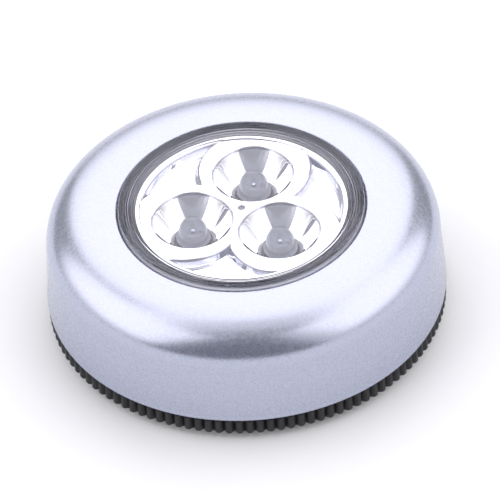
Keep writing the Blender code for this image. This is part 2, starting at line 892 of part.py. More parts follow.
def make_switch(finish, plunger_finish, spring_finish):
    half = switch_width / 2
    case = block((-half, -half, switch_low), (half, half, switch_top))
    body = add("switch_body", case, finish, (switch_x, 0.0, 0.0))
    edge = body.modifiers.new("edges", "BEVEL")
    edge.width = switch_edge
    edge.segments = 1
    bore_low = switch_low + switch_floor
    bore = cylinder(plunger_radius + touch_gap, bore_low, switch_top + overrun)
    cut(body, helper("cut_switch_bore", bore, (switch_x, 0.0, 0.0)))
    reach = half + terminal_reach
    for side, label in ((1, "a"), (-1, "b")):
        near, far = sorted((side * (half - overlap), side * reach))
        low = (-terminal_width / 2, near, terminal_height)
        high = (terminal_width / 2, far, terminal_height + terminal_thickness)
        join(body, helper(f"terminal_{label}", block(low, high), (switch_x, 0.0, 0.0)))
    plunger_low = switch_top - plunger_engagement
    plunger_top = flange_low - touch_gap
    nose = plunger_radius - plunger_edge
    outline = [(0.0, plunger_low), (nose, plunger_low), (plunger_radius, plunger_low + plunger_edge)]
    outline += [(plunger_radius, plunger_top - plunger_edge), (nose, plunger_top), (0.0, plunger_top)]
    plunger = add("switch_plunger", revolved(outline, small_steps), plunger_finish, (switch_x, 0.0, 0.0))
    points = switch_coil(bore_low + touch_gap, plunger_low - touch_gap)
    wound = tube(points, switch_spring_wire / 2, wire_sides)
    spring = add("switch_spring", wound, spring_finish, (switch_x, 0.0, 0.0))
    report_gap("switch spring", points[1:-1], switch_spring_wire)
    report_gap("contact spring", contact_coil()[1:-1], spring_wire)
    return body, plunger, spring


def switch_coil(low, high):
    """The switch's return spring, its two ends standing square on the bore's floor and the plunger."""
    wire = switch_spring_wire
    radius = plunger_radius - wire / 2
    turns = coil(low + wire, high - wire, radius, radius, switch_spring_turns)
    end = Vector((0.0, 0.0, wire))
    return [turns[0] - end] + turns + [turns[-1] + end]


# Lens, reflector, board and LEDs


def make_lens(finish):
    outline = [(0.0, lens_top)]
    edge_centre = (lens_radius - lens_edge, lens_top - lens_edge)
    for index in range(edge_points):
        turn = math.pi / 2 * (1 - index / (edge_points - 1))
        across = edge_centre[0] + lens_edge * math.cos(turn)
        outline.append((across, edge_centre[1] + lens_edge * math.sin(turn)))
    outline += [(lens_radius, flange_top), (flange_radius, flange_top), (flange_radius, flange_low)]
    outline += [(lens_radius, flange_low), (lens_radius, skirt_low), (skirt_inner, skirt_low)]
    outline += [(skirt_inner, lens_low), (0.0, lens_low)]
    lens = add("lens", revolved(outline, large_steps), finish)
    half = clip_half_degrees
    clip_low = skirt_low - clip_drop
    barb_top = board_low - touch_gap
    for index, degrees in enumerate(clip_degrees):
        inner = skirt_inner + clip_inset
        outer = lens_radius - clip_inset
        clip = sector(inner, outer, clip_low, skirt_low + overlap, degrees, -half, half)
        join(lens, helper(f"clip_{index + 1}", clip))
        barb_inner = board_radius - barb_reach
        barb_outer = inner + overlap
        barb = sector(barb_inner, barb_outer, barb_top - barb_height, barb_top, degrees, 1 - half, half - 1)
        join(lens, helper(f"barb_{index + 1}", barb))
    notch_high = board_top + notch_lift
    half = notch_half_degrees
    notch = sector(board_radius, hole_radius, skirt_low - overrun, notch_high, notch_degrees, -half, half)
    cut(lens, helper("cut_lead_notch", notch))
    return lens


def make_reflector(finish):
    """The mirrored plate: three parabolic cups that stand on the board, with three sunk triangles between."""
    low = board_top + reflector_lift
    under = plateau - reflector_plate
    rim_start = reflector_rim_inner + reflector_edge
    outline = [(0.0, plateau), (reflector_rim_inner, plateau), (rim_start, reflector_top)]
    outline.append((reflector_radius - reflector_edge, reflector_top))
    outline += [(reflector_radius, reflector_top - reflector_edge), (reflector_radius, low)]
    outline += [(reflector_rim_inner, low), (reflector_rim_inner, under), (0.0, under)]
    reflector = add("reflector", revolved(outline, plate_steps), finish)
    pocket_turns = [first_cup_degrees + 360 * (index + 0.5) / cup_count for index in range(cup_count)]
    cup_turns = [first_cup_degrees + 360 * index / cup_count for index in range(cup_count)]
    body_low = plateau - pocket_depth - pocket_floor
    pin_low = board_low + reflector_pin_short
    for index, degrees in enumerate(pocket_turns):
        body = prism(pocket_outline(pocket_skin), body_low, plateau - overlap)
        join(reflector, helper(f"pocket_body_{index + 1}", body, turn=degrees))
        pin = cylinder(reflector_pin_radius, pin_low, body_low + overlap)
        join(reflector, helper(f"reflector_pin_{index + 1}", pin, polar(reflector_pin_ring, degrees)))
    for index, degrees in enumerate(cup_turns):
        outer = cup_outline(cup_wall, plateau - overlap)
        solid = [(0.0, outer[0][1])] + outer + [(0.0, outer[-1][1])]
        join(reflector, helper(f"cup_body_{index + 1}", revolved(solid, cup_steps), polar(cup_ring, degrees)))
    for index, degrees in enumerate(pocket_turns):
        loops = []
        floor = plateau - pocket_depth
        for height, grow in ((floor, -pocket_draft), (plateau, 0.0), (reflector_top + overrun, 0.0)):
            loops.append([Vector((p.x, p.y, height)) for p in pocket_outline(grow)])
        cut(reflector, helper(f"cut_pocket_{index + 1}", lofted(loops), turn=degrees))
    for index, degrees in enumerate(cup_turns):
        inner = cup_outline(0.0, plateau)
        solid = [(0.0, cup_low - overrun), (cup_foot_radius, cup_low - overrun)] + inner
        solid += [(cup_radius, reflector_top + overrun), (0.0, reflector_top + overrun)]
        cut(reflector, helper(f"cut_cup_{index + 1}", revolved(solid, cup_steps), polar(cup_ring, degrees)))
    return reflector


def make_board(finish):
    board = add("circuit_board", cylinder(board_radius, board_low, board_top, plate_steps), finish)
    for index in range(cup_count):
        degrees = first_cup_degrees + 360 * index / cup_count
        for side in (1, -1):
            hole = cylinder(pin_hole_radius, board_low - overrun, board_top + overrun, 2 * arc_points)
            spot = polar(cup_ring, degrees) + Vector((side * led_pin_spacing / 2, 0.0, 0.0))
            cut(board, helper(f"cut_pin_{index + 1}_{'left' if side < 0 else 'right'}", hole, spot))
        pin_turn = degrees + 180 / cup_count
        hole = cylinder(reflector_pin_radius + touch_gap, board_low - overrun, board_top + overrun)
        cut(board, helper(f"cut_reflector_pin_{index + 1}", hole, polar(reflector_pin_ring, pin_turn)))
    return board


def make_resistor(finish):
    """A chip resistor on the board, its two metal end caps a little thicker than its body."""
    low = board_top + touch_gap
    half_length = resistor_length / 2
    half_width = resistor_width / 2
    waist = half_width - resistor_waist
    body_low = (-half_length + resistor_cap / 2, -waist, resistor_waist)
    body_high = (half_length - resistor_cap / 2, waist, resistor_height - resistor_waist)
    spot = polar(resistor_ring, resistor_degrees, low)
    resistor = add("resistor", block(body_low, body_high), finish, spot, resistor_degrees + 90)
    for side, label in ((1, "a"), (-1, "b")):
        near, far = sorted((side * (half_length - resistor_cap), side * half_length))
        cap = block((near, -half_width, 0.0), (far, half_width, resistor_height))
        join(resistor, helper(f"resistor_cap_{label}", cap, spot, resistor_degrees + 90))
    return resistor


def make_leds(finish):
    """Short domed LEDs: a flanged foot, a straight side and a round top, with two legs through the board."""
    outline = [(0.0, 0.0), (led_flange_radius, 0.0)]
    outline += [(led_flange_radius, led_flange_height), (led_radius, led_flange_height)]
    centre = led_height - led_radius
    for index in range(dome_points):
        turn = math.pi / 2 * index / dome_points
        outline.append((led_radius * math.cos(turn), centre + led_radius * math.sin(turn)))
    outline.append((0.0, led_height))
    half = led_pin_width / 2
    leg_low = board_low + touch_gap / 2 - led_low
    leds = []
    for index in range(cup_count):
        spot = polar(cup_ring, first_cup_degrees + 360 * index / cup_count, led_low)
        led = add(f"led_{index + 1}", revolved(outline, small_steps), finish, spot)
        for side, label in ((1, "plus"), (-1, "minus")):
            middle = side * led_pin_spacing / 2
            leg = block((middle - half, -half, leg_low), (middle + half, half, overlap))
            join(led, helper(f"leg_{index + 1}_{label}", leg, spot))
        leds.append(led)
    return leds


# Leads


def smooth_route(route):
    """Points on one smooth curve through the route's own points."""
    ends = [2 * route[0] - route[1]] + route + [2 * route[-1] - route[-2]]
    points = []
    for before, start, end, after in zip(ends, ends[1:], ends[2:], ends[3:]):
        for index in range(lead_samples):
            t = index / lead_samples
            bend = (end - before) * t + (2 * before - 5 * start + 4 * end - after) * t**2
            points.append(start + (bend + (3 * start - before - 3 * end + after) * t**3) / 2)
    points.append(route[-1])
    return points


def make_lead(name, route, finish):
    curve = bpy.data.curves.new(name, "CURVE")
    curve.dimensions = "3D"
    curve.bevel_depth = lead_radius
    curve.bevel_resolution = lead_sides_level
    curve.use_fill_caps = True
    spline = curve.splines.new("POLY")
    points = smooth_route(route)
    spline.points.add(len(points) - 1)
    for spot, point in zip(spline.points, points):
        spot.co = (*point, 1.0)
    curve.materials.append(finish)
    lead = bpy.data.objects.new(name, curve)
    bpy.context.scene.collection.objects.link(lead)
    return lead


def make_leads(red, black, white):
    """Three insulated wires over the chassis roof: tab to switch, switch to board, and tab to board."""
    beside_tab = outer_cell_x + solder_tab_offset + solder_tab_width / 2 + touch_gap + lead_radius
    soldered = terminal_height + terminal_thickness + touch_gap
    drop = Vector((switch_x, terminal_y, soldered))
    hole = Vector((switch_x, terminal_y, lead_height))
    positive = [Vector((beside_tab, plate_middle, lead_height))]
    positive += [polar(lead_ring, degrees, lead_height) for degrees in (48, 36, 24)]
    positive += [hole, drop]
    entry_end = reflector_radius - lead_end_inset
    switched = [Vector((drop.x, -drop.y, drop.z)), Vector((hole.x, -hole.y, hole.z))]
    switched += [polar(lead_ring, degrees, lead_height) for degrees in (-24, -40, -58, -74)]
    right = notch_degrees + lead_spread_degrees
    switched += [polar(lens_radius, right, lead_entry), polar(entry_end, right, lead_entry)]
    tab_x = -outer_cell_x - solder_tab_offset + solder_tab_width / 2 + touch_gap + lead_radius
    left = notch_degrees - lead_spread_degrees
    negative = [Vector((tab_x, -plate_middle, lead_height)), polar(lead_ring, -108, lead_height)]
    negative += [polar(lens_radius, left, lead_entry), polar(entry_end, left, lead_entry)]
    leads = [make_lead("lead_positive", positive, red)]
    leads.append(make_lead("lead_switched", switched, white))
    leads.append(make_lead("lead_negative", negative, black))
    return leads


def build():
    clear_scene()
    silver = material("silver_paint", (0.72, 0.73, 0.78), 0.32, 0.6)
    black = material("black_plastic", (0.03, 0.03, 0.035), 0.55)
    clear = material("clear_plastic", (0.95, 0.96, 1.0), 0.03, transmission=1.0)
    mirror = material("mirror_plating", (0.92, 0.93, 0.96), 0.06, 1.0)
    epoxy = material("led_epoxy", (0.9, 0.92, 0.97), 0.05, transmission=0.9)
    foam = material("adhesive_foam", (0.85, 0.85, 0.84), 0.9)
    mask = material("board_mask", (0.03, 0.16, 0.08), 0.45)
    ceramic = material("resistor_ceramic", (0.04, 0.04, 0.045), 0.4)
    nickel = material("nickel_plate", (0.76, 0.75, 0.71), 0.25, 1.0)
    steel = material("zinc_steel", (0.62, 0.62, 0.60), 0.35, 1.0)
    jacket = material("cell_jacket", (0.35, 0.38, 0.42), 0.35)
    switch = material("switch_plastic", (0.08, 0.08, 0.085), 0.5)
    stem = material("switch_stem", (0.8, 0.8, 0.78), 0.5)
    red = material("red_lead", (0.55, 0.03, 0.03), 0.45)
    dark = material("black_lead", (0.02, 0.02, 0.02), 0.45)
    white = material("white_lead", (0.8, 0.8, 0.8), 0.45)

    make_base(black)
    make_pad(foam)
    housing = frame("housing_twist", (0.0, 0.0, shell_low))
    head = frame("head_press", (0.0, 0.0, flange_top), housing)
    plunger_slide = frame("plunger_slide", (switch_x, 0.0, flange_low), housing)

    body, plunger, spring = make_switch(switch, stem, steel)
    fixed = [make_shell(silver), make_chassis(black), body, spring]
    fixed += make_screws(steel) + make_cells(jacket) + make_contacts(nickel) + make_leads(red, dark, white)
    carry(housing, fixed)
    pressed = [make_lens(clear), make_reflector(mirror), make_board(mask), make_resistor(ceramic)]
    carry(head, pressed + make_leds(epoxy))
    carry(plunger_slide, [plunger])

    shading = edge_shading()
    for item in bpy.context.scene.objects:
        if item.type == "MESH" and not item.hide_render:
            item.modifiers.new("edge_shading", "NODES").node_group = shading


build()
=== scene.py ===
"""Looks, light and camera for the puck light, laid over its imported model. Metres, +Z up."""

import math

import bmesh
import bpy
from mathutils import Matrix, Vector


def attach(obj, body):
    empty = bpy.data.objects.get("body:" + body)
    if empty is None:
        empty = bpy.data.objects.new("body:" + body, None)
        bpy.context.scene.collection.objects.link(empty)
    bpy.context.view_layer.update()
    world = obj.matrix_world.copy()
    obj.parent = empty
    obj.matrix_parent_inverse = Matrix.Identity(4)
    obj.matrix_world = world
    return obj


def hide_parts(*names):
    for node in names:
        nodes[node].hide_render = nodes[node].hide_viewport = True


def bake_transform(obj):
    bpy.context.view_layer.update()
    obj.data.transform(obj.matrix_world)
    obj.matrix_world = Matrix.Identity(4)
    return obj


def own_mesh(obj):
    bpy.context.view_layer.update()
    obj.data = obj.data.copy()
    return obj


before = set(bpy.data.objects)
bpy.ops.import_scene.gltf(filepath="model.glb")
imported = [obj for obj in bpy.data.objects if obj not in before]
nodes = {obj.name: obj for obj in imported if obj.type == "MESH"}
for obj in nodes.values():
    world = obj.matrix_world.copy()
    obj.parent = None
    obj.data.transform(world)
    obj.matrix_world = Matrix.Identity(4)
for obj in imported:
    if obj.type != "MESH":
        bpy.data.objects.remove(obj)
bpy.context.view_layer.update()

mm = 0.001

# Camera: degrees, metres, and millimetres for its lens and sensor
camera_azimuth = 15.6
camera_elevation = 43.0
camera_distance = 1.2
camera_roll = -4.106
camera_lens = 506.5
camera_sensor = 36.0
camera_tilt = 0.412
camera_pan = -0.015
camera_near = 0.05
camera_far = 20.0

# Studio: metres, and strengths where the world's is 1
floor_size = 6.0
floor_drop = 0.02 * mm
card_distance = 4.0
stand_distance = 3.5
card_steps = 12
softbox_level = 2.14
softbox_colour = (0.97, 0.94, 0.95)
stand_level = 0.4
high_stand_level = 0.75
overhead_level = 0.4
behind_level = 0.25
floor_lift = 0.1

# Sizes shared by the pieces, in millimetres and in degrees, and the reflector's gate in metres
cup_degrees = (90, 210, 330)
pocket_degrees = (30, 150, 270)
tab_degrees = (90, 210, 330)
boss_degrees = (180, 35, -35)
clip_degrees = (25, 155, 205, 335)
cup_ring = 8.6972
pin_ring = 15.6
boss_ring = 27.1
board_top = 16.3
cup_low = board_top + 0.2
plateau = 20.9
lens_under = 21.3
lens_top = 22.5
shell_low = 4.2
shoulder_low = 15.2
shoulder_power = 2.4
hole_radius = 21.1
rim_tip = 33.85
rib_depth = 0.8
rib_count = 120
rib_points = 8
pad_radius = 22.0
switch_x = 22.5
wire_radius = 0.5
gate_edge = (0.55 * mm, 0.72 * mm)


# Node trees


class Tree:
    """A short way to write a node tree: add() makes a node, and sets or links its sockets by name."""

    def __init__(self, tree):
        self.tree = tree

    def add(self, kind, sockets=None, **settings):
        node = self.tree.nodes.new("ShaderNode" + kind)
        for name, value in settings.items():
            setattr(node, name, value)
        for name, value in (sockets or {}).items():
            self.put(node.inputs[name], value)
        return node

    def put(self, socket, value):
        if isinstance(value, bpy.types.NodeSocket):
            self.tree.links.new(value, socket)
        else:
            socket.default_value = value

    def math(self, operation, first, second=0.0):
        """One step of arithmetic, by the name of the Math node's operation."""
        return self.add("Math", {0: first, 1: second}, operation=operation).outputs[0]

    def ramp(self, value, start, end, low=0.0, high=1.0):
        """Goes smoothly from low to high while value goes from start to end."""
        sockets = {"Value": value, "From Min": start, "From Max": end, "To Min": low, "To Max": high}
        return self.add("MapRange", sockets, interpolation_type="SMOOTHSTEP").outputs["Result"]

    def blend(self, share, first, second):
        """A colour between two, each a socket or (r, g, b, 1)."""
        node = self.add("Mix", data_type="RGBA")
        self.put(node.inputs[0], share)
        self.put(node.inputs[6], first)
        self.put(node.inputs[7], second)
        return node.outputs[2]


class Finish(Tree):
    """A material on one Principled shader."""

    def __init__(self, name, colour=(0.5, 0.5, 0.5), **values):
        self.material = bpy.data.materials.new(name)
        self.material.use_nodes = True
        super().__init__(self.material.node_tree)
        self.shader = self.tree.nodes["Principled BSDF"]
        self.set("Base Color", (*colour, 1.0))
        for name, value in values.items():
            self.set(name.replace("_", " ").title().replace("Ior", "IOR"), value)
        self.place = self.add("TexCoord").outputs["Object"]

    def set(self, name, value):
        self.put(self.shader.inputs[name], value)

    def noise(self, scale, detail=3.0, roughness=0.5, vector=None):
        """Noise from 0 to 1, scale in features per millimetre."""
        sockets = {"Vector": vector or self.place, "Scale": scale / mm, "Detail": detail, "Roughness": roughness}
        return self.add("TexNoise", sockets).outputs["Fac"]

    def cells(self, scale, output="Distance"):
        """Cells, scale in cells per millimetre."""
        return self.add("TexVoronoi", {"Vector": self.place, "Scale": scale / mm}).outputs[output]

    def height_and_radius(self):
        """Where a point is along the part's axis, and how far from it."""
        axes = self.add("SeparateXYZ", {"Vector": self.place}).outputs
        flat = self.add("CombineXYZ", {"X": axes["X"], "Y": axes["Y"]}).outputs["Vector"]
        return axes["Z"], self.add("VectorMath", {0: flat}, operation="LENGTH").outputs["Value"]

    def bump(self, height, depth, strength=1.0):
        """Relief from a 0 to 1 height, depth in millimetres."""
        node = self.add("Bump", {"Height": height, "Distance": depth * mm, "Strength": strength})
        self.set("Normal", node.outputs["Normal"])


# Mesh building


def turned_point(radius, degrees, height=0.0):
    """A point at a radius from Z, turned from +X."""
    angle = math.radians(degrees)
    return Vector((radius * math.cos(angle), radius * math.sin(angle), height))


def skin_loops(mesh, loops, closed=False, capped=False):
    """Faces between loops, where a loop is a list of points or one point. All in millimetres."""
    rows = [[mesh.verts.new(Vector(point) * mm) for point in loop] for loop in loops]
    pairs = list(zip(rows, rows[1:]))
    if closed:
        pairs.append((rows[-1], rows[0]))
    for lower, upper in pairs:
        count = max(len(lower), len(upper))
        if count == 1:
            continue
        for index in range(count):
            after = (index + 1) % count
            corners = [lower[index % len(lower)], lower[after % len(lower)]]
            corners += [upper[after % len(upper)], upper[index % len(upper)]]
            mesh.faces.new(list(dict.fromkeys(corners)))
    if capped:
        mesh.faces.new(list(reversed(rows[0])))
        mesh.faces.new(rows[-1])


def ring(radius, height, steps):
    """A level circle, or one point where the radius is 0."""
    if radius == 0:
        return [Vector((0.0, 0.0, height))]
    return [turned_point(radius, 360 * step / steps, height) for step in range(steps)]


def turned(profile, steps=192, closed=True):
    """A (radius, height) profile turned round Z."""
    mesh = bmesh.new()
    skin_loops(mesh, [ring(radius, height, steps) for radius, height in profile], closed=closed)
    bmesh.ops.recalc_face_normals(mesh, faces=mesh.faces)
    return mesh


def arc(centre, radius, start, end, points):
    """Points of an arc in a profile or an outline, both ends included, in degrees."""
    found = []
    for index in range(points):
        angle = math.radians(start + (end - start) * index / (points - 1))
        found.append((centre[0] + radius * math.cos(angle), centre[1] + radius * math.sin(angle)))
    return found


def lofted(loops):
    """A closed body through loops that have as many points each."""
    mesh = bmesh.new()
    skin_loops(mesh, loops, capped=True)
    bmesh.ops.recalc_face_normals(mesh, faces=mesh.faces)
    return mesh


def prism(outline, low, high):
    """An outline of (x, y) points raised from low to high."""
    return lofted([[(x, y, height) for x, y in outline] for height in (low, high)])


def block(left, right, near, far):
    """The outline of a rectangle."""
    return [(left, near), (right, near), (right, far), (left, far)]


def sector(inner, outer, low, high, centre, half, points=10):
    """A piece of a wall round Z: two radii, two heights, and half its width in degrees to each side of its centre."""
    outside = arc((0, 0), outer, centre - half, centre + half, points)
    inside = arc((0, 0), inner, centre + half, centre - half, points)
    return prism(outside + inside, low, high)


def tube(points, radius, sides=12):
    """A closed round tube along points."""
    loops = []
    across = None
    for index, point in enumerate(points):
        into = (point - points[max(index - 1, 0)]).normalized()
        onward = (points[min(index + 1, len(points) - 1)] - point).normalized()
        along = (into + onward).normalized()
        across = along.orthogonal() if across is None else across
        across = (across - along * across.dot(along)).normalized()
        upward = along.cross(across)
        loops.append([point + across * x + upward * y for x, y in arc((0, 0), radius, 0, 360, sides + 1)[:-1]])
    return lofted(loops)


def smooth_route(route, samples=8):
    """Points on one smooth curve through the route's own points."""
    ends = [2 * route[0] - route[1]] + route + [2 * route[-1] - route[-2]]
    points = []
    for before, start, end, after in zip(ends, ends[1:], ends[2:], ends[3:]):
        for index in range(samples):
            t = index / samples
            bend = (end - before) * t + (2 * before - 5 * start + 4 * end - after) * t**2
            points.append(start + (bend + (3 * start - before - 3 * end + after) * t**3) / 2)
    points.append(route[-1])
    return points


def moved(mesh, offset=(0, 0, 0), turn=0.0):
    """The mesh turned round Z in degrees and then shifted in millimetres."""
    mesh.transform(Matrix.Translation(Vector(offset) * mm) @ Matrix.Rotation(math.radians(turn), 4, "Z"))
    return mesh


def mesh_data(name, mesh):
    """A bmesh as mesh data. The bmesh is used up."""
    data = bpy.data.meshes.new(name)
    mesh.to_mesh(data)
    mesh.free()
    return data


def linked(name, data):
    """A new object in the scene."""
    made = bpy.data.objects.new(name, data)
    bpy.context.scene.collection.objects.link(made)
    return made


def merged(meshes):
    """Several bmeshes as one."""
    whole = bmesh.new()
    for mesh in meshes:
        data = mesh_data("part", mesh)
        whole.from_mesh(data)
        bpy.data.meshes.remove(data)
    return whole


def piece(name, mesh, body, finish, replaces=(), sharp=30):
    """A shown object that rides on a CAD body, if one is named, and may stand for CAD nodes."""
    return dressed(name, mesh_data(name, mesh), body, finish, replaces, sharp)


def dressed(name, data, body, finish, replaces=(), sharp=30):
    """The same for mesh data, with its edges sharp from so many degrees."""
    data.shade_smooth()
    data.set_sharp_from_angle(angle=math.radians(sharp))
    made = linked(name, data)
    data.materials.clear()
    data.materials.append(finish)
    if body:
        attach(made, body)
    if replaces:
        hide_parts(*replaces)
    return made


def carved(mesh, steps):
    """The mesh after Boolean steps, each an operation and a bmesh."""
    body = linked("carve", mesh_data("carve", mesh))
    tools = []
    for operation, tool in steps:
        modifier = body.modifiers.new("step", "BOOLEAN")
        modifier.operation = operation
        modifier.solver = "MANIFOLD"
        modifier.object = linked("carve", mesh_data("carve", tool))
        tools.append(modifier.object)
    bpy.context.view_layer.update()
    result = bpy.data.meshes.new_from_object(body.evaluated_get(bpy.context.evaluated_depsgraph_get()))
    for item in [body] + tools:
        bpy.data.objects.remove(item, do_unlink=True)
    return result


# Finishes


def silver_paint():
    """Satin silver paint: fine metal flake under a thin lacquer, a little uneven in gloss."""
    made = Finish("silver_paint_look", metallic=0.92, roughness=0.3, coat_weight=0.12, coat_roughness=0.12)
    flake = made.cells(4.0, output="Color")
    flake_tone = made.add("SeparateColor", {"Color": flake}).outputs["Red"]
    cloud = made.noise(0.35, detail=4.0)
    tone = made.math("ADD", made.math("MULTIPLY", flake_tone, 0.5), made.math("MULTIPLY", cloud, 0.5))
    made.set("Base Color", made.blend(tone, (0.453, 0.476, 0.585, 1), (0.481, 0.507, 0.623, 1)))
    made.set("Roughness", made.ramp(made.noise(1.4, detail=5.0), 0.3, 0.7, 0.24, 0.3))
    made.bump(made.noise(5.0, detail=2.0), 0.004, 0.07)
    return made.material


def clear_plastic():
    """Clear moulded plastic with a slight cold tint and faint flow marks, polished only where it is seen."""
    made = Finish("clear_plastic_look", (0.96, 0.965, 1.0), roughness=0.015, ior=1.49, transmission_weight=1.0)
    made.set("Specular Tint", (0.86, 0.88, 1.0, 1.0))
    height, radius = made.height_and_radius()
    edge = made.ramp(radius, 20.6 * mm, 20.85 * mm, 0.0, 0.6)
    hidden = made.math("MAXIMUM", made.ramp(height, 18.6 * mm, 20.9 * mm, 1.0, 0.0), edge)
    polish = made.ramp(made.noise(0.25, detail=5.0), 0.35, 0.75, 0.006, 0.02)
    made.set("Roughness", made.math("ADD", made.math("MULTIPLY", hidden, 0.5), polish))
    made.set("Transmission Weight", made.math("SUBTRACT", 1.0, made.math("MULTIPLY", hidden, 0.55)))
    made.set("Base Color", made.blend(hidden, (0.96, 0.965, 1.0, 1), (0.8, 0.815, 0.97, 1)))
    made.bump(made.noise(0.3, detail=3.0), 0.0006, 0.5)
    return made.material


def mirror_plating():
    """Vacuum-metallised plastic: near mirror, with the slight orange peel of the moulding under it, darkened by
    painted shade on its steep faces and rolled rims and in the dimple of its gate, which is also dull."""
    made = Finish("mirror_plating_look", (0.93, 0.935, 0.955), metallic=1.0, roughness=0.05)
    steep = made.add("SeparateXYZ", {"Vector": made.add("NewGeometry").outputs["True Normal"]}).outputs["Z"]
    # Painted shade: the mirror colour is darker on steep faces, where the normal leans far from up
    painted_wall_shade = made.blend(made.ramp(steep, 0.3, 0.46), (0.66, 0.67, 0.76, 1), (0.96, 0.963, 0.975, 1))
    height, radius = made.height_and_radius()
    # Painted shade: above the rim height, faces that are not near level get a darker colour, which shades the rolled
    # rims
    below_rim = made.ramp(height, 20.4 * mm, 20.55 * mm, 1.0, 0.0)
    off_painted_rim_shade = made.math("MAXIMUM", below_rim, made.ramp(steep, 0.7, 0.96))
    plating_with_painted_shade = made.blend(off_painted_rim_shade, (0.42, 0.43, 0.5, 1), painted_wall_shade)
    # Painted shade: the dimple of the gate gets a dark colour, as well as a rougher finish
    off_painted_gate_shade = made.ramp(radius, *gate_edge)
    made.set("Base Color", made.blend(off_painted_gate_shade, (0.25, 0.255, 0.31, 1), plating_with_painted_shade))
    dull = made.ramp(radius, *gate_edge, 0.3, 0.0)
    made.set("Roughness", made.math("ADD", dull, made.ramp(made.noise(0.5, detail=5.0), 0.3, 0.75, 0.02, 0.06)))
    made.bump(made.noise(0.45, detail=3.0), 0.006, 0.5)
    return made.material


def led_epoxy():
    """Clear cast epoxy, a little wavy."""
    made = Finish("led_epoxy_look", (0.93, 0.94, 0.98), roughness=0.02, ior=1.53, transmission_weight=1.0)
    made.set("Roughness", made.ramp(made.noise(0.8), 0.3, 0.7, 0.01, 0.05))
    made.bump(made.noise(0.7), 0.004, 0.4)
    return made.material


def moulded(name, colour, roughness=0.5, grain=5.0, depth=0.01, contrast=0.35):
    """Moulded plastic with a fine spark-eroded grain and slight streaks in colour."""
    made = Finish(name, colour, roughness=roughness)
    streak = made.noise(0.12, detail=6.0)
    lighter = [min(part * (1 + contrast) + 0.004, 1.0) for part in colour]
    darker = [part * (1 - contrast) for part in colour]
    made.set("Base Color", made.blend(streak, (*darker, 1), (*lighter, 1)))
    grain_noise = made.noise(grain, detail=4.0)
    made.set("Roughness", made.ramp(grain_noise, 0.3, 0.7, roughness - 0.08, roughness + 0.1))
    made.bump(grain_noise, depth, 0.7)
    return made.material


def plated(name, colour, roughness=0.25, stretch=(1, 1, 1)):
    """Plated or bare metal, a little tarnished, with fine scratches that stretch can draw out into lines."""
    made = Finish(name, colour, metallic=1.0, roughness=roughness)
    lines = made.add("Mapping", {"Vector": made.place, "Scale": stretch}).outputs["Vector"]
    scratch = made.noise(6.0, detail=4.0, vector=lines)
    tarnish = made.noise(0.4, detail=5.0)
    darker = [part * 0.82 for part in colour]
    made.set("Base Color", made.blend(tarnish, (*darker, 1), (*colour, 1)))
    made.set("Roughness", made.ramp(scratch, 0.3, 0.7, roughness - 0.08, roughness + 0.12))
    made.bump(scratch, 0.004, 0.6)
    return made.material


def foam():
    """White closed-cell foam: finely pitted, matt, and a little uneven in colour."""
    made = Finish("adhesive_foam_look", (0.86, 0.86, 0.84), roughness=0.85, subsurface_weight=0.1)
    cells = made.cells(5.0)
    made.set("Base Color", made.blend(made.noise(0.6, detail=5.0), (0.80, 0.80, 0.775, 1), (0.9, 0.9, 0.885, 1)))
    made.set("Roughness", made.ramp(cells, 0.0, 0.6, 0.65, 0.95))
    made.bump(cells, 0.05, 0.8)
    return made.material


def circuit_mask():
    """Black solder mask with the tracks raised under it."""
    made = Finish("board_mask_look", (0.02, 0.022, 0.03), roughness=0.35)
    tracks = made.add("TexBrick", {"Vector": made.place, "Scale": 0.2 / mm, "Mortar Size": 0.03}).outputs["Fac"]
    made.set("Base Color", made.blend(tracks, (0.035, 0.037, 0.06, 1), (0.05, 0.053, 0.085, 1)))
    weave = made.noise(3.0, detail=4.0)
    made.set("Roughness", made.ramp(weave, 0.3, 0.7, 0.28, 0.45))
    made.bump(made.math("ADD", tracks, made.math("MULTIPLY", weave, 0.2)), 0.03, 0.6)
    return made.material


def resistor_ceramic():
    """The chip resistor's black glaze, a little uneven."""
    made = Finish("resistor_look", roughness=0.35)
    normal = made.add("TexCoord").outputs["Normal"]
    spread = made.noise(4.0)
    made.set("Base Color", made.blend(spread, (0.02, 0.02, 0.024, 1), (0.06, 0.06, 0.066, 1)))
    made.set("Roughness", made.ramp(made.noise(2.0, vector=normal), 0.3, 0.7, 0.3, 0.5))
    made.bump(spread, 0.01, 0.5)
    return made.material


def cell_jacket():
    """A cell: a plain dark sleeve shrunk over a nickelled can, which shows at both ends."""
    made = Finish("cell_jacket_look", roughness=0.3)
    along = made.add("SeparateXYZ", {"Vector": made.place}).outputs["Y"]
    sleeve = made.ramp(made.math("ABSOLUTE", along), 21.0 * mm, 21.15 * mm, 1.0, 0.0)
    shrink = made.noise(0.6, detail=6.0)
    jacket = made.blend(shrink, (0.045, 0.055, 0.075, 1), (0.075, 0.09, 0.115, 1))
    made.set("Base Color", made.blend(sleeve, (0.62, 0.61, 0.58, 1), jacket))
    made.set("Metallic", made.math("SUBTRACT", 1.0, sleeve))
    made.set("Roughness", made.ramp(shrink, 0.3, 0.7, 0.24, 0.42))
    made.bump(shrink, 0.03, 0.5)
    return made.material


def wire_cover(name, colour):
    """Soft insulation with the faint wave of its strands."""
    made = Finish(name, colour, roughness=0.4)
    ripple = made.noise(1.6, detail=4.0)
    darker = [part * 0.75 for part in colour]
    made.set("Base Color", made.blend(ripple, (*darker, 1), (*colour, 1)))
    made.set("Roughness", made.ramp(ripple, 0.3, 0.7, 0.32, 0.5))
    made.bump(ripple, 0.02, 0.5)
    return made.material


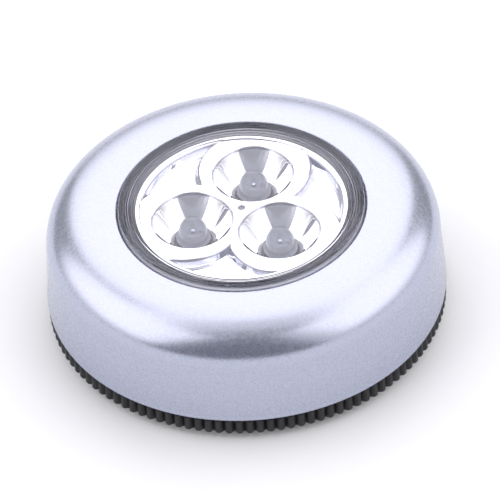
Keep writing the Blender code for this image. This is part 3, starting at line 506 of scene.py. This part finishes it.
silver = silver_paint()
clear = clear_plastic()
mirror = mirror_plating()
epoxy = led_epoxy()
black = moulded("black_plastic_look", (0.017, 0.017, 0.02), 0.5, grain=5.0, depth=0.012)
steel = plated("zinc_steel_look", (0.60, 0.60, 0.585), 0.34)
nickel = plated("nickel_plate_look", (0.74, 0.72, 0.67), 0.24, stretch=(0.1, 1, 1))
chip_metal = plated("chip_plate_look", (0.62, 0.62, 0.68), 0.25)
frame_grey = moulded("lead_frame_look", (0.50, 0.52, 0.62), 0.35, grain=1.5, depth=0.004, contrast=0.08)


# Cover


def shoulder_curve(inside, across, up, points, steps):
    """Points up a flattened quarter ellipse from the wall to the hole. It ends short of the hole where points are
    no more than steps."""
    found = []
    for index in range(points):
        turn = math.pi / 2 * index / steps
        out = max(math.cos(turn), 0.0) ** (2 / shoulder_power)
        rise = math.sin(turn) ** (2 / shoulder_power)
        found.append((inside + across * out, shoulder_low + up * rise))
    return found


def make_cover():
    """The turned cover: beaded lip, drafted wall, shoulder, collar, and the lining inside with its bayonet ledges
    and screw bosses."""
    profile = arc((33.7, 4.5), 0.3, -90, 0, 6) + [(33.99, 4.62), (33.93, 4.88), (33.92, 5.05)]
    profile += shoulder_curve(21.4, 12.0, 6.75, 72, 71)
    profile += arc((21.4, 21.65), 0.3, 105, 180, 5)
    profile += [(hole_radius, 19.45), (21.2, 19.35), (22.4, 19.35), (22.4, 20.3)]
    lining = shoulder_curve(hole_radius, 10.7, 5.15, 24, 24)
    profile += [point for point in reversed(lining) if point[0] > 22.6]
    profile += [(32.4, shoulder_low), (32.4, shell_low + 0.15), (32.55, shell_low)]
    extras = []
    for centre in tab_degrees:
        extras.append(sector(31.15, 33.0, 4.5, 5.6, centre, 8))
        for stop in (8.85, -33.85):
            extras.append(sector(31.15, 33.0, 4.4, 7.0, centre + stop, 1.25))
    for degrees in boss_degrees:
        boss = [(2.4, 14.0), (2.4, 19.6), (1.2, 19.6), (1.2, 14.0)]
        extras.append(moved(turned(boss, 32), turned_point(boss_ring, degrees)))
    body = turned(profile, 240)
    piece("cover", merged([body] + extras), "housing", silver, ["housing_shell"], sharp=24)


# Lens


def grooves(low, high, count, depth, steps=6):
    """How deep a run of round-nosed grooves is, as pairs of place and depth from low to high."""
    found = []
    for index in range(count * steps + 1):
        share = index / (count * steps)
        found.append((low + (high - low) * share, depth * abs(math.sin(math.pi * count * share))))
    return found


def make_push_lens():
    """The clear push lens: rounded edge with fine rings inside it on both faces, the flange that holds it in, the
    stepped skirt with a gap for the leads, and the clips that hold the board and the reflector on it."""
    profile = [(0, lens_top), (18.6, lens_top)]
    profile += [(radius, lens_top - depth) for radius, depth in grooves(18.8, 20.3, 3, 0.13)]
    profile += arc((20.4, 22.0), 0.5, 80, 0, 8)
    profile += [(20.9, 19.3), (21.05, 19.15), (23.8, 19.15), (23.9, 19.05), (23.9, 18.15), (23.8, 18.05)]
    profile += [(21.0, 18.05), (20.9, 17.95), (20.9, 15.6), (20.8, 15.5), (19.7, 15.5)]
    for radius, foot, head in ((19.6, 15.6, 18.3), (19.85, 18.4, 19.4), (20.1, 19.5, 20.4)):
        profile += [(radius, foot), (radius, head)]
    profile += arc((19.3, 20.5), 0.8, 0, 90, 9)
    profile += [(radius, lens_under - depth) for radius, depth in reversed(grooves(18.1, 19.1, 3, 0.035))]
    profile += [(18.0, lens_under), (0, lens_under)]
    steps = []
    for degrees in clip_degrees:
        steps.append(("UNION", sector(19.75, 20.75, 14.5, 15.9, degrees, 6)))
        steps.append(("UNION", sector(18.7, 20.15, 14.6, 15.1, degrees, 5)))
    steps.append(("DIFFERENCE", sector(19.3, 21.1, 14.5, 17.8, 270, 9)))
    data = carved(turned(profile, 240, closed=False), steps)
    dressed("push_lens", data, "head", clear, ["lens"], sharp=24)


# Reflector


def cup_profile(skin, top, points=22):
    """A cup's parabola from its foot up to top, moved out by skin."""
    foot, mouth = 3.2, 6.9
    spread = (mouth**2 - foot**2) / (plateau - cup_low)
    found = []
    for index in range(points):
        height = cup_low + (top - cup_low) * index / (points - 1)
        found.append((math.sqrt(foot**2 + spread * (height - cup_low)) + skin, height))
    return found


def pocket_outline(grow, points=30):
    """A curved triangle that points along +X: an outer arc, and two arcs that curl round the cups. Grow moves it
    outward all round."""
    outer = 17.0 + grow
    curl = 9.65 - grow
    pocket_ring = cup_ring + 1.2
    cosine = (outer**2 + pocket_ring**2 - curl**2) / (2 * outer * pocket_ring)
    corner = 60 - math.degrees(math.acos(cosine))
    reach = pocket_ring / 2
    inner = reach + math.sqrt(reach**2 - pocket_ring**2 + curl**2)
    found = arc((0, 0), outer, -corner, corner, points)
    for side in (1, -1):
        centre = turned_point(pocket_ring, side * 60)
        to_corner = turned_point(outer, side * corner) - centre
        to_inner = Vector((inner, 0, 0)) - centre
        start = math.degrees(math.atan2(to_corner.y, to_corner.x))
        end = math.degrees(math.atan2(to_inner.y, to_inner.x))
        if side < 0:
            start, end = end, start
        found += arc(centre, curl, start, end, points)[1 : -1 if side < 0 else None]
    return found


def make_mirror_plate():
    """The metallised plate: three parabolic cups with rolled rims, three sunk curved triangles, and the dimple where
    it was cut from its sprue."""
    # The bodies that are united end a little apart in height, so that no two of their faces lie in one plane
    apart = 0.05
    profile = [(0, plateau), (17.2, plateau)] + arc((17.4, 20.98), 0.12, 180, 90, 5)
    profile += arc((17.85, 20.95), 0.15, 90, 0, 5)
    profile += [(18.0, 17.8), (17.2, 17.8), (17.2, 19.9), (0, 19.9)]
    steps = []
    for index, degrees in enumerate(pocket_degrees):
        steps.append(("UNION", moved(prism(pocket_outline(0.6, 14), 18.4, 20.6 - apart * index), turn=degrees)))
        pin = turned([(0, 15.5), (0.8, 15.5), (0.8, 18.8), (0, 18.8)], 24, closed=False)
        steps.append(("UNION", moved(pin, turned_point(pin_ring, degrees))))
    for index, degrees in enumerate(cup_degrees):
        top = 20.4 - apart * index
        outer = cup_profile(0.8, top, 10)
        solid = [(0, outer[0][1])] + outer + [(0, top)]
        steps.append(("UNION", moved(turned(solid, 72, closed=False), turned_point(cup_ring, degrees))))
    section = [(-0.72, 19.4), (-0.55, 19.42), (-0.4, 19.5), (-0.32, 19.65)]
    section += arc((0.52, 20.3), 0.6, 170, 90, 9) + [(0.52, 22.0)]
    for degrees in pocket_degrees:
        loops = [[(x, y, height) for x, y in pocket_outline(grow)] for grow, height in section]
        steps.append(("DIFFERENCE", moved(lofted(loops), turn=degrees)))
    rim = arc((7.22, 20.36), 0.542, 150, 90, 8)
    solid = [(0, 16.0), (3.2, 16.0)] + cup_profile(0.0, 20.42) + rim + [(7.22, 22.0), (0, 22.0)]
    for degrees in cup_degrees:
        steps.append(("DIFFERENCE", moved(turned(solid, 96, closed=False), turned_point(cup_ring, degrees))))
    gate = [(0, 20.45)] + arc((0, 21.1), 0.65, -90, 0, 10)[1:] + [(0.65, 22.0), (0, 22.0)]
    steps.append(("DIFFERENCE", turned(gate, 32, closed=False)))
    data = carved(turned(profile, 192, closed=False), steps)
    dressed("mirror_plate", data, "head", mirror, ["reflector"], sharp=14)


# LEDs


def make_leds():
    """Clear domed LEDs, each cast round its frame: a grey disc in the flange that rises to a bowl for the chip, two
    legs, and the anvil beside the bowl."""
    bulb_radius, bulb_height = 2.4, 18.5
    profile = [(0, cup_low), (2.8, cup_low), (2.9, cup_low + 0.1), (2.9, 17.25), (2.85, 17.36), (2.75, 17.4)]
    profile += [(2.5, 17.42), (2.42, 17.46), (bulb_radius, 17.55)]
    profile += arc((0, bulb_height), bulb_radius, 0, 90, 24)[:-1] + [(0, 20.9)]
    disc = [(0, 16.6), (2.7, 16.6), (2.78, 16.68), (2.78, 17.1), (2.7, 17.18), (2.2, 17.22), (1.85, 17.5)]
    disc += [(1.62, 18.2), (1.52, 18.5), (1.35, 18.58), (1.1, 18.45), (0.4, 18.2), (0, 18.2)]
    leg, leg_half = 1.27, 0.25
    for number, degrees in enumerate(cup_degrees, 1):
        spot = turned_point(cup_ring, degrees)
        dome = moved(turned(profile, 64, closed=False), spot)
        piece(f"led_dome_{number}", dome, "head", epoxy, [f"led_{number}"])
        parts = [turned(disc, 64, closed=False)]
        for side in (leg, -leg):
            parts.append(prism(block(side - leg_half, side + leg_half, -leg_half, leg_half), 15.4, 16.7))
        parts.append(prism(block(0.8, 1.2, -0.2, 0.2), 18.4, 18.75))
        piece(f"led_frame_{number}", moved(merged(parts), spot), "head", frame_grey, ())
        chip = prism(block(-0.18, 0.18, -0.16, 0.16), 18.15, 18.5)
        piece(f"led_chip_{number}", moved(chip, spot), "head", chip_metal, ())


# Base and pad


def ribbed(radius, height, depth):
    """One loop of the grip rim: round-nosed ribs with narrow grooves between."""
    found = []
    for rib in range(rib_count):
        for index in range(rib_points):
            share = index / rib_points
            rise = min(1.12 * math.sin(math.pi * share), 1.0)
            found.append(turned_point(radius - depth * (1 - rise), (rib + share) * 360 / rib_count, height))
    return found


def make_ribbed_base():
    """The black base: pad's recess, plain foot, ribbed grip rim, dish, and bayonet tabs with lugs."""
    steps = rib_count * rib_points
    under = ((0, 1.2), (22.3, 1.2), (22.3, 0.7), (22.4, 0.6), (32.3, 0.6), (32.5, 0.7), (32.6, 0.95))
    grip = ((32.8, 1.0, 0.05), (33.4, 1.05, 0.5), (33.72, 1.2, 0.75), (rim_tip, 1.5, rib_depth))
    grip += ((rim_tip, 3.7, rib_depth), (33.75, 3.88, rib_depth), (33.5, 4.0, 0.6))
    dish = ((31.4, 4.0), (31.3, 3.9), (31.3, 2.4), (31.2, 2.3), (0, 2.3))
    loops = [ring(radius, height, steps) for radius, height in under]
    loops += [ribbed(radius, height, depth) for radius, height, depth in grip]
    loops += [ring(radius, height, steps) for radius, height in dish]
    mesh = bmesh.new()
    skin_loops(mesh, loops)
    bmesh.ops.recalc_face_normals(mesh, faces=mesh.faces)
    extras = []
    for centre in tab_degrees:
        extras.append(sector(29.7, 31.5, 2.2, 3.6, centre, 8))
        extras.append(sector(29.75, 30.9, 2.2, 7.0, centre, 7.5))
        extras.append(sector(30.8, 32.1, 5.9, 7.0, centre, 7))
    piece("ribbed_base", merged([mesh] + extras), "base", black, ["base"], sharp=32)


def make_foam_disc():
    """The adhesive foam disc, its cut side slightly drawn in between the two flat faces."""
    profile = [(0, 1.0), (21.9, 1.0), (pad_radius, 0.95), (21.93, 0.75), (21.88, 0.5), (21.93, 0.25)]
    profile += [(pad_radius, 0.04), (21.95, 0.0), (0, 0.0)]
    made = piece("foam_disc", turned(profile, 160, closed=False), "base", foam(), ["foam_pad"])


# Wires and the switch's spring


def make_wire(name, route, colour, body, node, slot):
    """One round wire on a smooth curve through its route."""
    finish = wire_cover(f"{slot}_look", colour)
    return piece(name, tube(smooth_route(route), wire_radius), body, finish, [node])


def make_wires():
    """Three insulated wires over the chassis roof. Two of them climb to the board, which moves, and ride on no body.
    """
    over, climb, tab, drop = 14.5, 17.0, 23.95, 11.2
    switch_y = 6.2
    around = 23.4
    positive = [Vector((14.2, tab, over))] + [turned_point(around, degrees, over) for degrees in (48, 36, 24)]
    positive += [Vector((switch_x, switch_y, over)), Vector((switch_x, switch_y, drop))]
    switched = [Vector((switch_x, -switch_y, drop)), Vector((switch_x, -switch_y, over))]
    switched += [turned_point(around, degrees, over) for degrees in (-24, -40, -58, -74)]
    switched += [turned_point(radius, -85, climb) for radius in (20.9, 17.2)]
    negative = [Vector((-10.8, -tab, over)), turned_point(around, -108, over)]
    negative += [turned_point(radius, -95, climb) for radius in (20.9, 17.2)]
    make_wire("wire_positive", positive, (0.50, 0.02, 0.02), "housing", "lead_positive", "red_lead")
    white = make_wire("wire_switched", switched, (0.74, 0.74, 0.73), None, "lead_switched", "white_lead")
    dark = make_wire("wire_negative", negative, (0.018, 0.018, 0.02), None, "lead_negative", "black_lead")
    for wire in (white, dark):
        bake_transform(wire)


def make_return_spring():
    """The switch's return spring, which the plunger presses together."""
    low, high, radius, wire, turns, steps = 6.3, 9.2, 1.05, 0.3, 3, 36
    coil = []
    for index in range(turns * steps + 1):
        rise = low + wire + (high - low - 2 * wire) * index / (turns * steps)
        coil.append(turned_point(radius, 360 * index / steps, rise))
    end = Vector((0.0, 0.0, wire))
    coil = [coil[0] - end] + coil + [coil[-1] + end]
    mesh = moved(tube(coil, wire / 2, 10), (switch_x, 0, 0))
    finish = plated("spring_steel_look", (0.62, 0.62, 0.60), 0.3)
    made = piece("return_spring", mesh, "housing", finish, ["switch_spring"])
    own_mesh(made)


# CAD nodes shown as they are


def finish_node(name, material):
    """Gives a CAD node its material and leaves its mesh alone."""
    for held in nodes[name].material_slots:
        held.link = "OBJECT"
        held.material = material


def finish_nodes():
    """Procedural looks for the CAD nodes that no piece stands for."""
    chassis = moulded("chassis_plastic_look", (0.026, 0.026, 0.028), 0.55, grain=3.0, depth=0.015)
    finish_node("battery_chassis", chassis)
    finish_node("circuit_board", circuit_mask())
    finish_node("resistor", resistor_ceramic())
    finish_node("switch_body", moulded("switch_plastic_look", (0.05, 0.05, 0.055), 0.45, grain=4.0))
    finish_node("switch_plunger", moulded("switch_stem_look", (0.72, 0.72, 0.70), 0.45, grain=4.0, contrast=0.05))
    jacket = cell_jacket()
    for number in (1, 2, 3):
        finish_node(f"cell_{number}", jacket)
        finish_node(f"chassis_screw_{number}", steel)
    for name in ("contact_positive", "contact_negative", "link_contact_1", "link_contact_2"):
        finish_node(name, nickel)


# Floor, light and camera


def make_floor():
    """A plain white floor. It is left out from below, and what sees it straight or by a mirror sees it near white."""
    mesh = bmesh.new()
    bmesh.ops.create_grid(mesh, x_segments=1, y_segments=1, size=floor_size)
    data = mesh_data("floor", mesh)
    data.transform(Matrix.Translation((0.0, 0.0, -floor_drop)))
    floor = linked("floor", data)
    made = Finish("floor_look", (0.76, 0.774, 0.793), roughness=1.0)
    made.set("Specular IOR Level", 0.0)
    path = made.add("LightPath").outputs
    straight = made.math("MAXIMUM", path["Is Camera Ray"], path["Is Glossy Ray"])
    seen = made.math("MAXIMUM", straight, path["Is Transmission Ray"])
    made.set("Emission Color", (1.0, 1.0, 1.0, 1.0))
    made.set("Emission Strength", made.math("MULTIPLY", seen, floor_lift))
    through = made.math("GREATER_THAN", path["Transparent Depth"], 0.5)
    below = made.math("MAXIMUM", made.add("NewGeometry").outputs["Backfacing"], through)
    gone = made.add("BsdfTransparent").outputs[0]
    either = made.add("MixShader", {0: below, 1: made.shader.outputs[0], 2: gone}).outputs[0]
    made.tree.links.new(either, made.tree.nodes["Material Output"].inputs["Surface"])
    data.materials.append(made.material)


def make_card(name, low, high, level, colour=(1.0, 1.0, 1.0), fade=1.0, distance=card_distance):
    """A card of the studio, far off round the object. Its low and high edge are each a height and two sides, in
    degrees, and the sides are counted from the camera's. Its foot is dimmer by fade."""
    mesh = bmesh.new()
    rows = []
    for row in range(card_steps + 1):
        share = row / card_steps
        height, start, end = [first + (last - first) * share for first, last in zip(low, high)]
        points = []
        for step in range(card_steps + 1):
            side = start + (end - start) * step / card_steps + camera_azimuth - 90
            flat = distance * math.cos(math.radians(height))
            point = turned_point(flat, side, distance * math.sin(math.radians(height)))
            points.append(mesh.verts.new(point))
        rows.append(points)
    for under, over in zip(rows, rows[1:]):
        for index in range(card_steps):
            mesh.faces.new([under[index], under[index + 1], over[index + 1], over[index]])
    data = mesh_data(name, mesh)
    card = linked(name, data)
    material = bpy.data.materials.new(name)
    material.use_nodes = True
    material.cycles.emission_sampling = "NONE"
    tree = Tree(material.node_tree)
    rise = tree.add("SeparateXYZ", {"Vector": tree.add("TexCoord").outputs["Object"]}).outputs["Z"]
    strength = tree.ramp(rise, 0.0, 0.5 * distance, level * fade, level)
    glow = tree.add("Emission", {"Color": (*colour, 1.0), "Strength": strength}).outputs[0]
    tree.tree.links.new(glow, tree.tree.nodes["Material Output"].inputs["Surface"])
    data.materials.append(material)
    card.visible_camera = False


def make_studio():
    """White all round. Softboxes stand at both sides and the back, with dark stands low between them and a paler one
    higher up at the left. A dark card stands behind the camera, and a grey one hangs overhead."""
    world = bpy.data.worlds.new("studio")
    world.use_nodes = True
    world.node_tree.nodes["Background"].inputs["Color"].default_value = (1.0, 1.0, 1.0, 1.0)
    bpy.context.scene.world = world
    make_card("softbox_back", (3, 142, 218), (72, 139, 221), softbox_level, softbox_colour, 0.18)
    for name, side in (("left", -1), ("right", 1)):
        low, high = (0, side * 118, side * 160), (46, side * 136.5, side * 141.5)
        make_card(f"gap_{name}", low, high, stand_level, distance=stand_distance)
        low, high = (3, side * 50, side * 137), (72, side * 46, side * 138)
        make_card(f"softbox_{name}", low, high, softbox_level, softbox_colour, 0.38)
    make_card("gap_high", (46, -135, -143), (63, -131, -147), high_stand_level, distance=stand_distance)
    make_card("card_behind_camera", (4, -57, 38), (72, -40, 26), behind_level, (0.93, 0.95, 1.08))
    make_card("card_overhead", (72, -80, 80), (90, -80, 80), overhead_level)


def make_camera():
    """The camera at the photograph's angle, a long lens far off."""
    data = bpy.data.cameras.new("camera")
    data.lens = camera_lens
    data.sensor_width = camera_sensor
    data.clip_start = camera_near
    data.clip_end = camera_far
    azimuth = math.radians(camera_azimuth)
    height = math.radians(camera_elevation)
    back = Vector((math.sin(azimuth) * math.cos(height), -math.cos(azimuth) * math.cos(height), math.sin(height)))
    turn = (-back).to_track_quat("-Z", "Y").to_matrix().to_4x4()
    for degrees, axis in ((camera_roll, "Z"), (camera_tilt, "X"), (camera_pan, "Y")):
        turn = turn @ Matrix.Rotation(math.radians(degrees), 4, axis)
    camera = linked("camera", data)
    camera.matrix_world = Matrix.Translation(back * camera_distance) @ turn
    bpy.context.scene.camera = camera


make_cover()
make_push_lens()
make_mirror_plate()
make_leds()
make_ribbed_base()
make_foam_disc()
make_wires()
make_return_spring()
finish_nodes()
make_floor()
make_studio()
make_camera()
bpy.context.scene.view_settings.view_transform = "Standard"

bpy.context.view_layer.update()
